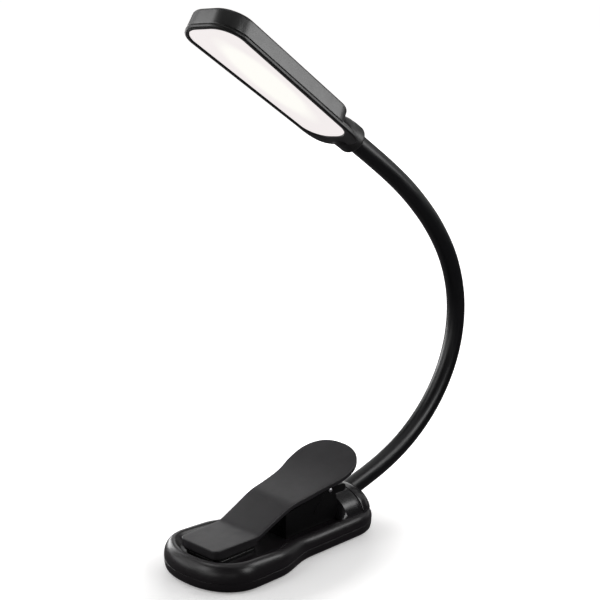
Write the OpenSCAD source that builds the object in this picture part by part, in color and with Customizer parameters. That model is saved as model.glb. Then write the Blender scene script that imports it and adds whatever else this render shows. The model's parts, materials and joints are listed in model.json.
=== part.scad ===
// Clip-on reading lamp: a clamping base with a sprung lever, a bendable neck and a flat light bar.
// +X points to the rear, where the neck leaves the base; -X is the clamping end; +Z is up.
// The origin is on the underside of the base, under the crease between the lever's ramp and its handle.

/* [Base] */
// Length of the base
base_len = 84.4; // [84:0.1:86]
// Width of the round front lobe
lobe_w = 41; // [40:0.5:44]
// Width behind the lobe
waist_w = 32.4; // [32:0.1:34]
// Height of the deck that the jaw closes on
deck_z = 7; // [6.8:0.1:7.2]
// Height of the rolled rim around the lobe
lobe_rim_z = 9.7; // [9:0.1:10.2]
// Height of the shoulder beside the rear housing
shoulder_z = 7.6; // [7.5:0.1:7.7]
// Thickness of the moulded walls
wall = 1.5; // [1.2:0.1:1.6]

/* [Rear housing] */
// Width of the arched housing
vault_w = 23.6; // [23.2:0.1:24]
// Height of the top of the arch above the table
vault_top_z = 15; // [14.8:0.1:15.2]
// Length of the power button
button_l = 6.5; // [5:0.1:8]
// Travel of the power button
button_travel = 0.4; // [0.3:0.1:0.5]

/* [Clamp] */
// Thickness of the lever plate
lever_t = 1.7; // [1.5:0.1:1.8]
// Height of the flat front of the lever
pad_top_z = 12.5; // [12.3:0.1:12.7]
// Distance of the hinge pin behind the middle of the base
pin_x = 20.4; // [20.2:0.1:20.6]
// Height of the hinge pin
pin_z = 18.6; // [18.5:0.1:18.7]
// Diameter of the hinge pin
pin_d = 2; // [1.8:0.1:2]
// Diameter of the spring wire
spring_wire_d = 0.8; // [0.7:0.1:0.8]

/* [Neck] */
// Outside diameter of the neck
neck_d = 6.9; // [6.6:0.1:7.1]
// Diameter of the steel core
core_d = 3.8; // [3.4:0.1:3.9]
// Distance between two bending joints
link_l = 17.75; // [17.5:0.05:18]
// Angle of the neck above the table where it leaves the base
neck_exit_a = 14.7; // [14.2:0.1:15]

/* [Head] */
// Length of the light bar without its collar
head_l = 75.4; // [75:0.2:76]
// Width of the light bar at its tip
head_w = 24.8; // [24.6:0.1:25.4]
// Width of the light bar at its neck
head_neck_w = 20; // [19.8:0.1:20.4]
// Thickness of the light bar
head_t = 7.4; // [7.3:0.1:7.6]
// Height of the lower frame
frame_t = 2.1; // [2:0.1:2.2]
// Width of the black rim around the diffuser
rim = 1.5; // [1.4:0.1:1.6]
// Diameter of the collar that holds the neck
collar_d = 10.4; // [10.2:0.1:10.8]
// Twist of the light bar about the end of the neck
head_roll = -7.5; // [-8:0.5:0]

/* [Hidden] */
eps = 0.01;
gap = 0.1;
$fn = 48;

// Colours
shell_black = [0.09, 0.08, 0.085];
gloss_black = [0.03, 0.03, 0.03];
lever_grey = [0.16, 0.155, 0.16];
rubber_black = [0.05, 0.05, 0.05];
head_grey = [0.3, 0.3, 0.3];
steel = [0.75, 0.75, 0.77];
white = [0.97, 0.95, 0.93];
board_green = [0.1, 0.35, 0.2];
cell_silver = [0.7, 0.72, 0.75];
led_yellow = [0.95, 0.85, 0.5];

// ---- small helpers ----
function lerp(a, b, t) = a + (b - a) * t;
function ease(t) = 0.5 - 0.5 * cos(180 * min(1, max(0, t)));
function bezier(a, b, c, n) = [for (i = [0:n]) let (t = i / n)
    (1 - t) * (1 - t) * a + 2 * t * (1 - t) * b + t * t * c];

// A closed skin through rings of equally many points, each counter-clockwise seen from the last ring.
module skin(rings) {
    n = len(rings[0]);
    m = len(rings);
    sides = [for (i = [0:m - 2], j = [0:n - 1]) let (k = (j + 1) % n)
        each [[i * n + j, (i + 1) * n + j, (i + 1) * n + k], [i * n + j, (i + 1) * n + k, i * n + k]]];
    start_cap = [for (j = [0:n - 1]) j];
    end_cap = [for (j = [n - 1:-1:0]) (m - 1) * n + j];
    polyhedron(points = [for (r = rings) each r], faces = concat(sides, [start_cap, end_cap]));
}

// ---- plan of the base ----
// The outline is a round lobe, a stretch that narrows to the waist, and a rounded tail.
front_x = -41;
rear_x = front_x + base_len;
lobe_x = -25;
lobe_n = 2.2;
lobe_end_x = -15;
waist_x = 4;
tail_x = 28;
tail_n = 2.2;
function super(a, b, n, angle) = [a * pow(cos(angle), 2 / n), b * pow(sin(angle), 2 / n)];
function side_y(x) = lerp(lobe_w / 2, waist_w / 2, ease((x - lobe_end_x) / (waist_x - lobe_end_x)));
half_plan = concat(
    [for (a = [0:9:90]) let (p = super(lobe_x - front_x, lobe_w / 2, lobe_n, a)) [lobe_x - p[0], -p[1]]],
    [for (i = [0:8]) let (x = lerp(lobe_end_x, waist_x, i / 8)) [x, -side_y(x)]],
    [for (x = [12, 20]) [x, -side_y(x)]],
    [for (a = [90:-9:0]) let (p = super(rear_x - tail_x, waist_w / 2, tail_n, a)) [tail_x + p[0], -p[1]]]);
n_half = len(half_plan);
plan = concat(half_plan, [for (i = [n_half - 2:-1:1]) [half_plan[i][0], -half_plan[i][1]]]);
n_plan = len(plan);
function plan_normal(i) = let (t = plan[(i + 1) % n_plan] - plan[(i + n_plan - 1) % n_plan])
    [t[1], -t[0]] / norm(t);
function inset_plan(d) = [for (i = [0:n_plan - 1]) plan[i] - plan_normal(i) * d];

// ---- base shell ----
// A rolled rim: its crest is high around the lobe and falls to the shoulder at the rear.
rim_in = 3.4;
rim_foot = 6.2;
belly_z = 4.4;
skirt_z = 0.5;
skirt_in = wall + 0.8;
fall_x0 = -30;
fall_l = 40;
function crest_z(x) = lerp(lobe_rim_z, shoulder_z, ease((x - fall_x0) / fall_l));
function rim_ring(inset, share, low, high_drop) = let (pts = inset_plan(inset))
    [for (p = pts) [p[0], p[1], low + share * (crest_z(p[0]) - high_drop - low)]];
function flat_ring(inset, z) = [for (p = inset_plan(inset)) [p[0], p[1], z]];
inner_rings = [flat_ring(rim_foot, deck_z - wall), rim_ring(rim_in, 1, deck_z - wall, wall),
    rim_ring(skirt_in, 0.4, belly_z, wall), flat_ring(skirt_in, skirt_z)];
skirt_rings = [flat_ring(0.5, skirt_z), flat_ring(0.12, 2), flat_ring(0, belly_z)];
roll_rings = [for (a = [22.5:22.5:90]) rim_ring(rim_in * (1 - cos(a)), sin(a), belly_z, 0)];
dish_rings = [for (t = [0.34, 0.67])
    rim_ring(lerp(rim_in, rim_foot, t), 0.5 + 0.5 * cos(180 * t), deck_z, 0)];

wire_slot = [27, 36.9, 5];
module base_shell() {
    color(shell_black) difference() {
        union() {
            skin(concat(inner_rings, skirt_rings, roll_rings, dish_rings, [flat_ring(rim_foot, deck_z)]));
            at_screws() translate([0, 0, cover_top_z + eps])
                cylinder(h = deck_z - wall - cover_top_z + 0.5, r = boss_r);
        }
        at_screws() translate([0, 0, 1]) cylinder(h = screw_hole_top - 1, r = screw_r + 0.05);
        translate([wire_slot[0], -wire_slot[2], deck_z - wall - 1])
            cube([wire_slot[1] - wire_slot[0], 2 * wire_slot[2], wall + 2]);
        translate([socket_x0 - 0.2, 0, port_z]) port_slot(port_w / 2 + 0.15, port_h / 2 + 0.15, 12);
        translate([indicator_x0 - 1.5, indicator_y, indicator_z]) rotate([0, 90, 0])
            cylinder(h = 8, r = indicator_r + 0.05);
        translate([button_x, waist_w / 2 - 4, button_z]) rotate([-90, 0, 0])
            pill(button_l + 0.2, button_h + 0.2, 8);
        along_exit(sleeve_start - 0.3) cylinder(h = 20, r = neck_d / 2 + 0.05);
    }
}

// ---- bottom ----
sole_t = 0.8;
cover_top_z = 2;
screw_r = 0.9;
screw_head_r = 1.6;
screw_hole_top = 5.4;
boss_r = 1.9;
screw_spots = [[-28, -14.2], [-28, 14.2], [6, -11.8], [6, 11.8]];
module at_screws() {
    for (p = screw_spots) translate([p[0], p[1], 0]) children();
}

module bottom_cover() {
    color(gloss_black) difference() {
        translate([0, 0, sole_t]) linear_extrude(cover_top_z - sole_t) polygon(inset_plan(skirt_in + 0.3));
        at_screws() cylinder(h = cover_top_z + 1, r = screw_r + 0.15);
        at_screws() cylinder(h = sole_t + 0.7, r = screw_head_r + gap);
    }
}

module sole_pad() {
    color(rubber_black) linear_extrude(sole_t - eps) polygon(inset_plan(skirt_in + 1));
}

module base_screws() {
    color(steel) at_screws() {
        translate([0, 0, sole_t + 0.02]) cylinder(h = 0.65, r = screw_head_r);
        translate([0, 0, sole_t + 0.5]) cylinder(h = screw_hole_top - sole_t - 0.6, r = screw_r);
    }
}

// ---- rear housing ----
vault_x0 = 24.5;
vault_x1 = 33;
cap_gap = 0.25;
cap_end_x = 41.5;
vault_z0 = shoulder_z + 0.05;
arch_n = 2.3;
function arch(w, h) = [for (a = [0:12:180])
    [w / 2 * (cos(a) < 0 ? -1 : 1) * pow(abs(cos(a)), 2 / arch_n), h * pow(sin(a), 2 / arch_n)]];
vault_h = vault_top_z - vault_z0;

module arch_bar(x0, x1, inset, foot) {
    w = vault_w / 2 - inset;
    translate([x0, 0, vault_z0]) rotate([90, 0, 90]) linear_extrude(x1 - x0)
        polygon(concat(arch(2 * w, vault_h - inset), [[-w, -foot], [w, -foot]]));
}

module rear_vault_cover() {
    tongue_w = waist_w - 2 * rim_foot - 0.6;
    color(gloss_black) union() {
        difference() {
            arch_bar(vault_x0, vault_x1, 0, eps);
            arch_bar(vault_x0 + wall, vault_x1 + 1, wall, 1);
        }
        translate([vault_x0, -tongue_w / 2, deck_z + 0.05]) cube([wall, tongue_w, vault_z0 - deck_z + wall]);
    }
}

// The cap is a dome of shrinking arches, with a rib inside that holds the end of the neck.
function cap_scale(t) = pow(1 - pow(t, 2.4), 1 / 2.4);
function cap_ring(x, s, sy, inset) = [for (p = arch((vault_w - 2 * inset) * sy, (vault_h - inset) * s))
    [x, p[0], vault_z0 + p[1]]];
module cap_dome(x0, x1, inset) {
    skin([for (t = [0, 0.2, 0.4, 0.55, 0.7, 0.8, 0.88, 0.94, 0.98])
        cap_ring(lerp(x0, x1, t), cap_scale(t), pow(cap_scale(t), 0.85), inset)]);
}
rib_t = 2.4;
module rear_cap() {
    x0 = vault_x1 + cap_gap;
    color(gloss_black) difference() {
        union() {
            difference() {
                cap_dome(x0, cap_end_x, 0);
                translate([0, 0, -eps]) cap_dome(x0 - 0.7, cap_end_x - wall, wall);
            }
            arch_bar(x0 + 0.1, x0 + rib_t, wall - 0.2, eps);
        }
        along_exit(core_start - 1) cylinder(h = ferrule_l + 1.2, r = anchor_r + 0.03);
        along_exit(core_start + ferrule_l) cylinder(h = 20, r = neck_d / 2 + 0.03);
    }
}

module lower_jaw_pad() {
    color(rubber_black) translate([0, 0, deck_z]) linear_extrude(jaw_z - 0.03 - deck_z)
        rounded_slab(-33.6, -14.4, 9, 3.5);
}
module rounded_slab(x0, x1, half_w, c) {
    polygon(concat(
        [for (a = [180:15:270]) [x0 + c + c * cos(a), -half_w + c + c * sin(a)]],
        [for (a = [270:15:360]) [x1 - c + c * cos(a), -half_w + c + c * sin(a)]],
        [for (a = [0:15:90]) [x1 - c + c * cos(a), half_w - c + c * sin(a)]],
        [for (a = [90:15:180]) [x0 + c + c * cos(a), half_w - c + c * sin(a)]]));
}

// ---- what the base holds ----
battery = [26, 22, 3];
battery_x0 = -33;
board_x0 = -4;
board_x1 = 38;
board_w = 16.8;
board_z = 2.15;
board_t = 0.8;
board_top = board_z + board_t;
port_w = 7.6;
port_h = 2.8;
port_z = 4.4;
socket_x0 = rear_x - 7.8;
indicator_x0 = rear_x - 2.9;
indicator_y = 7;
indicator_z = 4.8;
indicator_r = 0.8;
button_x = 22;
button_z = 3.7;
button_h = 2;
switch_y = 10.6;
switch_l = 1.6;

module battery_cell() {
    color(cell_silver) translate([battery_x0, -battery[1] / 2, board_z]) cube(battery);
}

module main_board() {
    color(board_green) translate([0, 0, board_z]) linear_extrude(board_t) union() {
        translate([board_x0, -board_w / 2]) square([board_x1 - board_x0, board_w]);
        translate([button_x - 4, 0]) square([8, 12.4]);
    }
}

module board_chips() {
    color(gloss_black) translate([0, 0, board_top]) {
        translate([-2, -3, 0]) cube([5, 4, 0.6]);
        translate([6, -6, 0]) cube([3, 3, 0.6]);
        translate([6, 2, 0]) cube([4, 3, 0.6]);
        for (i = [0:3]) translate([12 + 2 * i, 4, 0]) cube([1, 1.8, 0.5]);
    }
}

module port_slot(half_w, r, l) {
    rotate([0, 90, 0]) linear_extrude(l) union() {
        square([2 * r, 2 * (half_w - r)], center = true);
        for (s = [-1, 1]) translate([0, s * (half_w - r)]) circle(r);
    }
}
module charge_socket() {
    depth = 6.6;
    color(steel) translate([socket_x0, 0, port_z]) difference() {
        port_slot(port_w / 2, port_h / 2, depth);
        translate([1, 0, 0]) port_slot(port_w / 2 - 0.3, port_h / 2 - 0.3, depth);
    }
    color(gloss_black) translate([socket_x0 + 0.9, -2.7, port_z - 0.3]) cube([4.6, 5.4, 0.6]);
}

// The switch lies on the board with its plunger towards the button.
module button_switch() {
    color(steel) union() {
        translate([button_x - 2.4, switch_y, board_top]) cube([4.8, switch_l, 1.6]);
        translate([button_x - 0.9, switch_y + switch_l - eps, button_z - 0.4])
            cube([1.8, button_in_y - button_travel - 0.1 - switch_y - switch_l, 0.8]);
    }
}

button_in_y = waist_w / 2 - skirt_in - 0.55;
module pill(l, w, h) {
    linear_extrude(h) union() {
        square([l - w, w], center = true);
        for (s = [-1, 1]) translate([s * (l - w) / 2, 0]) circle(w / 2);
    }
}
module power_button() {
    color(lever_grey) translate([button_x, button_in_y, button_z]) rotate([-90, 0, 0]) union() {
        pill(button_l, button_h, waist_w / 2 + 0.45 - button_in_y);
        pill(button_l + 0.6, button_h + 0.6, 0.5);
    }
}

module indicator_lens() {
    color(white) translate([indicator_x0, indicator_y, indicator_z]) rotate([0, 90, 0])
        cylinder(h = 1.8, r = indicator_r);
}

// ---- hinge ----
ear_in = 7.6;
ear_out = 9.4;
ear_r = 2.1;
cheek_in = 5.5;
cheek_out = 7.3;
bracket_x0 = -2;
bracket_x1 = 23.4;
bracket_top_z = 15.9;
bracket_z0 = deck_z + 0.02;
arm_end = [26.6, 17.9];
arm_r = 1.4;
module side_plate(y0, y1) {
    translate([0, y1, 0]) rotate([90, 0, 0]) linear_extrude(y1 - y0) children();
}
module both_plates(y_in, y_out) {
    side_plate(y_in, y_out) children();
    side_plate(-y_out, -y_in) children();
}
module ear_outline() {
    crown = [pin_x - ear_r * cos(45), pin_z + ear_r * sin(45)];
    union() {
        translate([pin_x, pin_z]) circle(ear_r);
        translate(arm_end) circle(arm_r);
        polygon([[pin_x, pin_z - 1.8], arm_end - [0, arm_r], arm_end + [0, arm_r], [pin_x, pin_z + 1.5]]);
        polygon([[bracket_x0, bracket_z0], [bracket_x1, bracket_z0], [bracket_x1 + 0.8, 11],
            [pin_x + ear_r, pin_z], crown, [bracket_x0 + wall, bracket_top_z + 0.4],
            [bracket_x0, bracket_top_z]]);
    }
}
module ear_rib(y) {
    translate([11.7, y, 12.4]) rotate([0, -45.5, 0]) cube([8.6, 0.3, 0.5]);
}
module hinge_bracket() {
    color(gloss_black) difference() {
        union() {
            translate([bracket_x0, -ear_out, bracket_z0]) cube([bracket_x1 - bracket_x0, 2 * ear_out, 1]);
            translate([bracket_x0, -ear_out, bracket_z0])
                cube([wall, 2 * ear_out, bracket_top_z - bracket_z0]);
            both_plates(ear_in, ear_out) ear_outline();
            ear_rib(-ear_out - 0.28);
            ear_rib(ear_out - 0.02);
        }
        translate([pin_x, 0, pin_z]) rotate([90, 0, 0]) cylinder(h = 30, r = pin_d / 2 + eps, center = true);
    }
}

module hinge_pin() {
    color(steel) translate([pin_x, 0, pin_z]) rotate([90, 0, 0])
        cylinder(h = 2 * ear_out + 0.5, r = pin_d / 2, center = true);
}

// Torsion spring: a coil round the pin whose lower leg lies on the arched housing.
coil_r = 1.65;
coil_turns = 7;
coil_half_w = 4.6;
leg_x = 28;
leg_y = 3.2;
coil_start_a = 30;
function coil_point(t) = let (a = coil_start_a + 360 * coil_turns * t)
    [pin_x + coil_r * cos(a), lerp(-coil_half_w, coil_half_w, t), pin_z + coil_r * sin(a)];
function tube_ring(p, u, v, r, n) = [for (i = [0:n - 1])
    let (a = 360 * i / n) p + r * (cos(a) * u + sin(a) * v)];
function unit(v) = v / norm(v);
function path_tube(pts, r, n) = [for (i = [0:len(pts) - 1])
    let (t = unit(pts[min(i + 1, len(pts) - 1)] - pts[max(i - 1, 0)]),
        side = abs(t[1]) > 0.9 ? [0, 0, 1] : [0, 1, 0],
        u = unit(cross(side, t)),
        v = cross(t, u)) tube_ring(pts[i], u, v, r, n)];
leg_sag = spring_wire_d / 2 + 0.05;
module torsion_spring() {
    steps = 14 * coil_turns;
    coil = [for (i = [0:steps]) coil_point(i / steps)];
    leg_z = vault_top_z + leg_sag;
    drop = coil[0][2] - leg_z;
    leg = bezier([leg_x, -leg_y, leg_z], [coil[0][0] + drop * tan(coil_start_a), -coil_half_w, leg_z],
        coil[0], 8);
    color(steel) skin(path_tube(concat(leg, [for (i = [1:steps]) coil[i]]), spring_wire_d / 2, 8));
}
module spring_upper_leg() {
    color(steel) skin(path_tube([for (x = [pin_x + 2.6:1:leg_x])
        [x, coil_half_w - 0.3, lever_top(x) - lever_t - leg_sag]], spring_wire_d / 2, 8));
}

// ---- lever ----
lever_x0 = -34.6;
crease1_x = -15.6;
crease2_x = -0.4;
crease2_z = 19.3;
tip_x = 35.4;
tongue_x = 25;
tongue_w = 13.2;
tongue_n = 2;
pad_w = 9.3;
pad_corner = 2.2;
jaw_z = 8.3;
rubber_t = 1.1;
function lever_top(x) = let (s = x - crease2_x) crease2_z + 0.16 * s + 0.0001136 * s * s * s;
lever_path = concat(
    [[lever_x0, pad_top_z]],
    bezier([crease1_x - 2, pad_top_z], [crease1_x, pad_top_z], [crease1_x + 1.8, pad_top_z + 0.8], 5),
    bezier([crease2_x - 3, crease2_z - 1.34], [crease2_x, crease2_z],
        [crease2_x + 3, lever_top(crease2_x + 3)], 6),
    [for (x = [crease2_x + 5:2.5:tip_x]) [x, lever_top(x)]],
    [[tip_x + 0.5, lever_top(tip_x + 0.5)]]);
lever_side = concat(lever_path,
    [for (i = [len(lever_path) - 1:-1:3]) lever_path[i] - [0, lever_t]],
    [[crease1_x - 0.6, jaw_z + rubber_t], [lever_x0, jaw_z + rubber_t]]);
lever_half = concat(
    [for (a = [0:18:90]) [lever_x0 + pad_corner * (1 - cos(a)), -pad_w + pad_corner * (1 - sin(a))]],
    [[crease1_x, -9.8], [crease2_x, -10.3], [8, -11.1], [17, -12.1]],
    [for (a = [90:-10:0]) let (p = super(tip_x - tongue_x, tongue_w, tongue_n, a)) [tongue_x + p[0], -p[1]]]);
lever_plan = concat(lever_half, [for (i = [len(lever_half) - 2:-1:1]) [lever_half[i][0], -lever_half[i][1]]],
    [[lever_x0, pad_w - pad_corner]]);
module cheek_outline() {
    root = [[4.2, -0.8], [-5.5, -0.8]];
    union() {
        translate([pin_x, pin_z]) circle(ear_r);
        polygon(concat([[pin_x - ear_r, pin_z], [pin_x + ear_r, pin_z]],
            [for (r = root) [pin_x + r[0], lever_top(pin_x + r[0]) + r[1]]]));
    }
}
module clamp_lever() {
    color(lever_grey) difference() {
        union() {
            intersection() {
                side_plate(-20, 20) polygon(lever_side);
                linear_extrude(40) polygon(lever_plan);
            }
            both_plates(cheek_in, cheek_out) cheek_outline();
        }
        translate([pin_x, 0, pin_z]) rotate([90, 0, 0]) cylinder(h = 30, r = pin_d / 2 + 0.05, center = true);
    }
}
module upper_jaw_pad() {
    color(rubber_black) translate([0, 0, jaw_z]) linear_extrude(rubber_t)
        rounded_slab(lever_x0 + 0.5, crease1_x - 0.8, pad_w - 0.5, 2.2);
}

// ---- neck ----
// The neck bends at joints along a chain of straight links. Side joints sit in the middle of a link.
neck_start = [36.3, 10];
first_l = 23.3;
last_l = 32.2;
bends = [12, 15, 18.5, 21.5, 22, 17.5, 11, 7, 5.5];
link_lengths = [first_l / 2, first_l / 2, link_l, link_l, link_l / 2, link_l / 2, link_l, link_l, link_l / 2,
    link_l / 2, link_l, link_l, last_l];
joint_bends = [0, bends[0], bends[1], bends[2], 0, bends[3], bends[4], bends[5], 0,
    bends[6], bends[7], bends[8]];
function link_angle(k) = k == 0 ? neck_exit_a : link_angle(k - 1) + joint_bends[k - 1];
function link_point(k) = k == 0 ? neck_start
    : link_point(k - 1) + link_lengths[k - 1] * [cos(link_angle(k - 1)), sin(link_angle(k - 1))];
module on_link(k) {
    p = link_point(k);
    translate([p[0], 0, p[1]]) rotate([0, 90 - link_angle(k), 0]) children();
}
module along_exit(s) {
    on_link(0) translate([0, 0, s]) children();
}
socket_r = neck_d / 2 + 0.4;
bore_r = core_d / 2 + 0.1;
sleeve_start = 1;
core_start = -4;
ferrule_l = 3.7;
anchor_r = 2.7;
ferrule_r = 4.2;
last_link = len(link_lengths) - 1;
module link_rod(k, r, start) {
    l = link_lengths[k];
    z0 = k == 0 ? start : 0;
    z1 = k == last_link ? l + sleeve_tail : l;
    on_link(k) difference() {
        union() {
            translate([0, 0, z0]) cylinder(h = z1 - z0, r = r);
            if (k > 0) sphere(r);
        }
        if (k < last_link) translate([0, 0, l]) sphere(socket_r);
        if (k > 0) translate([0, 0, -2 * r]) cylinder(h = 2 * r - 1.6, r = 2 * r);
    }
}
module neck_sleeve(k) {
    color(rubber_black) difference() {
        link_rod(k, neck_d / 2, sleeve_start);
        on_link(k) translate([0, 0, -10]) cylinder(h = 60, r = bore_r);
    }
}
module neck_core(k) {
    color(steel) link_rod(k, core_d / 2, core_start);
}
module ring(r_out, r_in, h) {
    difference() {
        cylinder(h = h, r = r_out);
        translate([0, 0, -1]) cylinder(h = h + 2, r = r_in);
    }
}
module neck_ferrule_lower() {
    color(steel) along_exit(core_start) ring(anchor_r, core_d / 2 + 0.02, ferrule_l);
}

// ---- head ----
// Local head axes: x runs from the tip to the neck, z out of the back.
head_angle = 180 - link_angle(12);
axis_h = 4.4;
sleeve_tail = -2.5;
module on_head() {
    p = link_point(12) + last_l * [cos(link_angle(12)), sin(link_angle(12))];
    translate([p[0], 0, p[1]]) rotate([0, head_angle, 0]) rotate([head_roll, 0, 0])
        translate([-head_l / 2, 0, -axis_h]) children();
}
tip_end_x = -head_l / 2;
neck_end_x = head_l / 2;
// The bar tapers from the tip to the neck. bar() is its outline from x0 to x1, inset all round, with
// corners of radius tip_r at the tip and neck_r at the neck before the inset.
function bar_half(x) = lerp(head_w / 2, head_neck_w / 2, (x - tip_end_x) / head_l);
tip_r = 0.74 * head_w / 2;
module bar(x0, x1, inset, neck_r, h) {
    r0 = tip_r - inset;
    r1 = neck_r - inset;
    w0 = bar_half(x0 + r0) - inset;
    w1 = bar_half(x1 - r1) - inset;
    linear_extrude(h) union() {
        polygon([[x0 + r0, -w0], [x1 - r1, -w1], [x1 - r1, w1], [x0 + r0, w0]]);
        translate([x0, r0 - w0]) square([2 * r0, 2 * (w0 - r0)]);
        translate([x1 - 2 * r1, r1 - w1]) square([2 * r1, 2 * (w1 - r1)]);
        for (s = [-1, 1]) {
            translate([x0 + r0, s * (w0 - r0)]) circle(r0, $fn = 96);
            translate([x1 - r1, s * (w1 - r1)]) circle(r1, $fn = 96);
        }
    }
}
// The bar inside the frame's opening, and the cover's shell, both inset from the frame.
opening_end_x = neck_end_x - 0.9;
opening_neck_r = rim + 5.8;
cover_inset = 0.3;
cover_end_x = neck_end_x - 6.6;
cover_neck_r = cover_inset + 6.7;
module opening_bar(inset, h) {
    bar(tip_end_x + rim + inset, opening_end_x - inset, rim + inset, opening_neck_r, h);
}
module cover_bar(inset, h) {
    bar(tip_end_x + cover_inset + inset, cover_end_x - inset, cover_inset + inset, cover_neck_r, h);
}
// The frame's outline: round corners at the tip and a squarer end at the neck.
shoulder_x = neck_end_x - 12;
shoulder_w = bar_half(shoulder_x);
shoulder_l = 14.6;
shoulder_n = 3.4;
tip_flat = bar_half(tip_end_x + tip_r) - tip_r;
frame_outline = concat(
    [for (a = [90:7.5:180]) [tip_end_x + tip_r * (1 + cos(a)), tip_flat + tip_r * sin(a)]],
    [for (a = [180:7.5:270]) [tip_end_x + tip_r * (1 + cos(a)), tip_r * sin(a) - tip_flat]],
    [for (a = [90:-7.5:0]) let (p = super(shoulder_l, shoulder_w, shoulder_n, a))
        [shoulder_x + p[0], -p[1]]],
    [for (a = [7.5:7.5:90]) let (p = super(shoulder_l, shoulder_w, shoulder_n, a))
        [shoulder_x + p[0], p[1]]]);
collar_r = collar_d / 2;
collar_l = 7.7;
collar_end_x = neck_end_x + collar_l;
// Neck collar: sections from the flat end of the bar to a round boss.
function section(x, w, z0, z1, e) = [for (a = [0:15:345]) [x,
    w * (cos(a) < 0 ? -1 : 1) * pow(abs(cos(a)), e),
    (z0 + z1) / 2 + (z1 - z0) / 2 * (sin(a) < 0 ? -1 : 1) * pow(abs(sin(a)), e)]];
flare_l = 13;
collar_sections = [for (t = [0:0.125:1])
    let (x = lerp(neck_end_x - flare_l, neck_end_x + 4.2, t), k = ease(t), f = pow(1 - t, 2))
        section(x, collar_r + 4.2 * f, lerp(0.05, axis_h - collar_r, k),
            lerp(frame_t + 2.5, axis_h + collar_r, k), lerp(0.7, 1, k))];
module head_frame() {
    round_end = 1.4;
    boss = [for (a = [0:15:90]) [collar_r - round_end * (1 - cos(a)), round_end * sin(a)]];
    color(gloss_black) on_head() difference() {
        union() {
            linear_extrude(frame_t) polygon(frame_outline);
            difference() {
                union() {
                    skin(concat(collar_sections, [section(collar_end_x - round_end, collar_r,
                        axis_h - collar_r, axis_h + collar_r, 1)]));
                    translate([collar_end_x - round_end - eps, 0, axis_h]) rotate([0, 90, 0])
                        rotate_extrude() polygon(concat([[0, 0]], boss, [[0, round_end]]));
                }
                translate([0, 0, frame_t]) cover_bar(-gap, head_t + 4);
                translate([tip_end_x, -head_w, -head_t]) cube([head_l - flare_l, 2 * head_w, 3 * head_t]);
            }
        }
        translate([0, 0, -1]) opening_bar(0, frame_t + 2);
        translate([neck_end_x + 2, 0, axis_h]) rotate([0, 90, 0]) cylinder(h = 20, r = neck_d / 2 + 0.05);
        translate([neck_end_x + 2.4, 0, axis_h]) rotate([0, 90, 0]) cylinder(h = 3.1, r = ferrule_r + 0.03);
    }
}
module head_back_cover() {
    top_r = 1.2;
    z0 = frame_t + 0.02;
    side_h = head_t - frame_t - top_r;
    color(head_grey) on_head() difference() {
        union() {
            translate([0, 0, z0]) cover_bar(0, side_h);
            for (a = [22.5:22.5:90]) translate([0, 0, z0 + side_h - eps])
                cover_bar(top_r * (1 - cos(a)), top_r * sin(a));
        }
        translate([0, 0, frame_t - 1]) cover_bar(wall, head_t - frame_t + 1 - wall);
    }
}
face_in = 0.35;
diffuser_t = 1.2;
module diffuser() {
    color(white) on_head() translate([0, 0, face_in]) opening_bar(0.05, diffuser_t);
}
tray_z = face_in + diffuser_t + 0.03;
tray_h = 2;
tray_wall = 0.8;
led_pitch = 3.8;
led_mid_x = -2.5;
led_count = 7;
module reflector_tray() {
    tray_in = wall + 0.3;
    color(white) on_head() translate([0, 0, tray_z]) difference() {
        cover_bar(tray_in, tray_h);
        translate([0, 0, -1]) cover_bar(tray_in + tray_wall, tray_h + 1 - tray_wall);
        for (i = [-led_count:led_count])
            translate([led_mid_x + i * led_pitch, 0, tray_h]) cube([2.4, 2, 3], center = true);
    }
}
board_low_z = tray_z + tray_h + 0.03;
led_board_l = 60;
led_board_w = 9;
led_board_t = 0.8;
module on_led_board() {
    on_head() translate([led_mid_x, 0, board_low_z]) children();
}
module led_board() {
    color(white) on_led_board() difference() {
        translate([-led_board_l / 2, -led_board_w / 2, 0]) cube([led_board_l, led_board_w, led_board_t]);
        for (s = [-1, 1]) translate([s * board_screw_x, 0, -1]) cylinder(h = 3, r = 0.65);
    }
}
module leds() {
    color(led_yellow) on_led_board() for (i = [-led_count:led_count])
        translate([i * led_pitch - 1, -0.7, -0.62]) cube([2, 1.4, 0.6]);
}
board_screw_x = led_board_l / 2 - 1.4;
module board_screws() {
    color(steel) on_led_board() for (s = [-1, 1]) translate([s * board_screw_x, 0, 0]) {
        translate([0, 0, led_board_t + 0.02]) cylinder(h = 0.4, r = 1.1);
        translate([0, 0, -0.02]) cylinder(h = 0.9, r = 0.6);
    }
}
module neck_ferrule_upper() {
    color(steel) on_head() translate([neck_end_x + 2.5, 0, axis_h]) rotate([0, 90, 0])
        ring(ferrule_r, neck_d / 2 + 0.02, 2.9);
}

base_shell();
bottom_cover();
sole_pad();
base_screws();
rear_vault_cover();
rear_cap();
lower_jaw_pad();
hinge_bracket();
hinge_pin();
torsion_spring();
battery_cell();
main_board();
board_chips();
charge_socket();
button_switch();
indicator_lens();
neck_ferrule_lower();
power_button();
clamp_lever();
upper_jaw_pad();
spring_upper_leg();
for (k = [0:12]) {
    neck_sleeve(k);
    neck_core(k);
}
head_frame();
head_back_cover();
diffuser();
reflector_tray();
led_board();
leds();
board_screws();
neck_ferrule_upper();
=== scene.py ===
import json
import math

import bmesh
import bpy
import numpy as np
from mathutils import Matrix, Vector


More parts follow.
